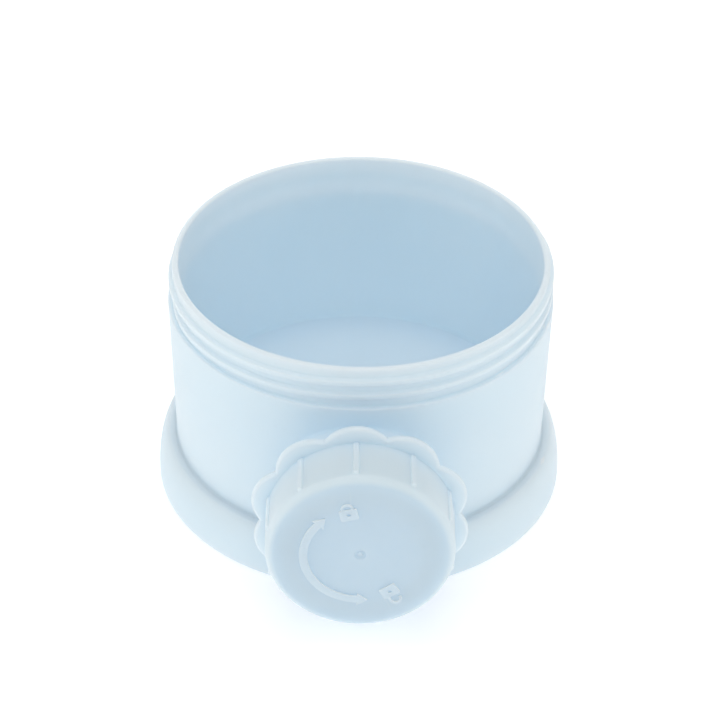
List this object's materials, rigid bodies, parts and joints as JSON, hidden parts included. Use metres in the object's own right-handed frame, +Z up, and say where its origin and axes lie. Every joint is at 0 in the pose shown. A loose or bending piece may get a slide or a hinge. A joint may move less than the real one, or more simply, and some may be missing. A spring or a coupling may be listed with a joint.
{
  "type": "formula dispenser",
  "caption": "Stackable milk powder dispenser tier: open round cup with a threaded rim, a threaded skirt under its floor and a side spout with a scalloped screw cap.",
  "frame": {"origin": "centre of the socket's mouth in the base plane, on the cup's axis", "axes": "+Z up through the cup's mouth, -Y out of the spout, +X to the right seen from the spout"},
  "size_m": [0.094, 0.1133, 0.0587],
  "materials": {
    "cup_plastic": "satin",
    "cap_plastic": "satin",
    "silicone": "satin"
  },
  "bodies": {
    "cup": {"cup": "cup_plastic", "stack_seal": "silicone"},
    "seal": {"cap_seal": "silicone"},
    "cap": {"spout_cap": "cap_plastic"}
  },
  "joints": [
    {"name": "cap_travel", "type": "slide", "parent": "cup", "child": "seal", "axis": [0, -1, 0], "range_m": [0, 0.01]},
    {"name": "cap_turn", "type": "hinge", "parent": "seal", "child": "cap", "pos_m": [0, -0.058, 0.02594], "axis": [0, -1, 0], "range_deg": [0, 900]}
  ],
  "couplings": [
    {"joint": "cap_travel", "follows": "cap_turn", "m_per_rad": 0.0006366}
  ]
}
